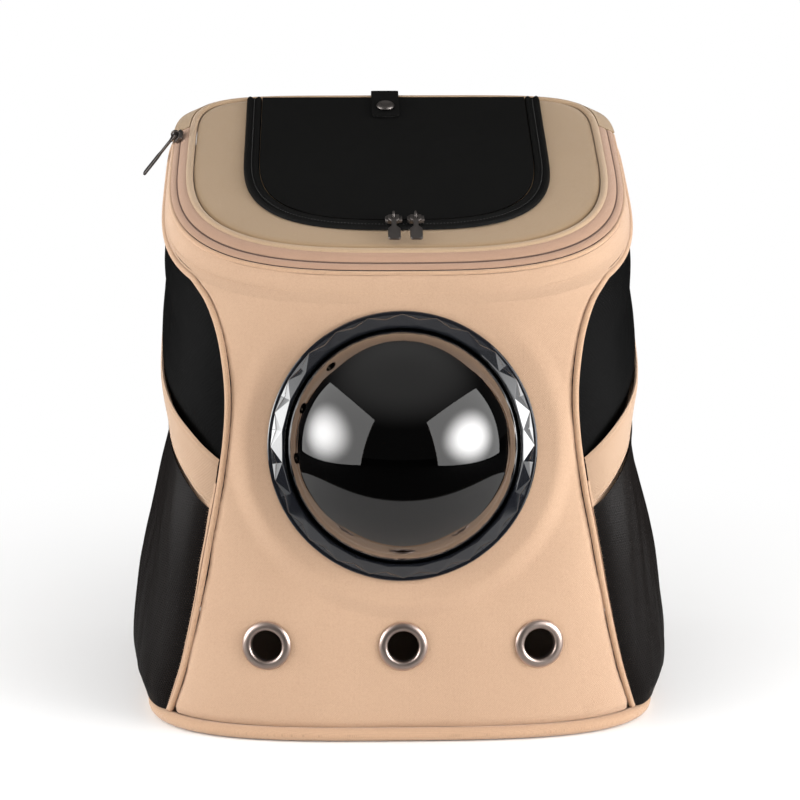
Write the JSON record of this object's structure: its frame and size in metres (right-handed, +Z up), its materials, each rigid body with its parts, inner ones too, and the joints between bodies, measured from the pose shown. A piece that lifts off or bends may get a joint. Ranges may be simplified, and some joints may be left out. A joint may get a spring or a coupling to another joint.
{
  "type": "bubble pet carrier backpack",
  "caption": "Soft backpack pet carrier with a clear smoked bubble window, round air vents, mesh sides with pockets and a sloping zipped lid with a black flap.",
  "frame": {"origin": "middle of the base on the surface that the bag stands on", "axes": "+Z up; the front with the bubble window faces -Y; the back with the straps faces +Y; left is -X, as seen in the picture"},
  "size_m": [0.3544, 0.3642, 0.3866],
  "materials": {
    "beige_canvas": "matt plain-weave canvas",
    "olive_canvas": "matt plain-weave canvas",
    "zip_tape": "ribbed zip tape",
    "black_cloth": "matt nylon cloth",
    "black_mesh": "open knitted mesh",
    "black_webbing": "woven webbing",
    "gunmetal": "polished dark nickel",
    "black_gloss_plastic": "glossy moulded plastic",
    "smoked_dome": "smoked clear acrylic",
    "black_plastic": "satin moulded plastic"
  },
  "bodies": {
    "case": {"back_panel": "black_cloth", "base_panel": "beige_canvas", "base_welt": "beige_canvas", "case_zip_tape": "zip_tape", "flap_binding": "black_cloth", "front_panel": "beige_canvas", "haul_loop": "black_webbing", "left_flap_slider": "gunmetal", "left_front_piping": "beige_canvas", "left_pocket": "black_mesh", "left_pocket_hem": "beige_canvas", "left_shoulder_strap": "black_cloth", "left_side_mesh": "black_mesh", "left_side_wall": "beige_canvas", "left_strap_adjuster": "black_plastic", "left_strap_anchor": "black_cloth", "left_strap_webbing": "black_webbing", "left_vent_grommet": "gunmetal", "lid_flap": "black_cloth", "lid_gusset": "olive_canvas", "lid_panel": "olive_canvas", "lid_piping": "olive_canvas", "lid_zip_tape": "zip_tape", "main_zip_slider": "gunmetal", "middle_vent_grommet": "gunmetal", "right_flap_slider": "gunmetal", "right_front_piping": "beige_canvas", "right_pocket": "black_mesh", "right_pocket_hem": "beige_canvas", "right_shoulder_strap": "black_cloth", "right_side_mesh": "black_mesh", "right_side_wall": "beige_canvas", "right_strap_adjuster": "black_plastic", "right_strap_anchor": "black_cloth", "right_strap_webbing": "black_webbing", "right_vent_grommet": "gunmetal", "rim_piping": "beige_canvas", "snap_cap": "gunmetal", "snap_tab": "black_cloth", "window_mount_ring": "black_gloss_plastic", "zip_coil": "zip_tape"},
    "bubble": {"bubble_dome": "smoked_dome", "bubble_grip_ring": "black_gloss_plastic"},
    "main_zip_pull": {"main_zip_pull": "gunmetal"},
    "left_flap_pull": {"left_flap_pull": "gunmetal"},
    "right_flap_pull": {"right_flap_pull": "gunmetal"}
  },
  "joints": [
    {"name": "bubble_twist", "type": "hinge", "parent": "case", "child": "bubble", "pos_m": [0, -0.10736, 0.186], "axis": [0, -0.977, 0.213], "range_deg": [0, 30]},
    {"name": "main_zip_pull_swing", "type": "hinge", "parent": "case", "child": "main_zip_pull", "pos_m": [-0.14956, 0.07669, 0.36196], "axis": [0.006, 0.9329, 0.3601], "range_deg": [0, 135]},
    {"name": "left_flap_pull_swing", "type": "hinge", "parent": "case", "child": "left_flap_pull", "pos_m": [-0.004, -0.04724, 0.32275], "axis": [-1, 0, 0], "range_deg": [0, 150]},
    {"name": "right_flap_pull_swing", "type": "hinge", "parent": "case", "child": "right_flap_pull", "pos_m": [0.01, -0.04724, 0.32275], "axis": [-1, 0, 0], "range_deg": [0, 150]}
  ]
}
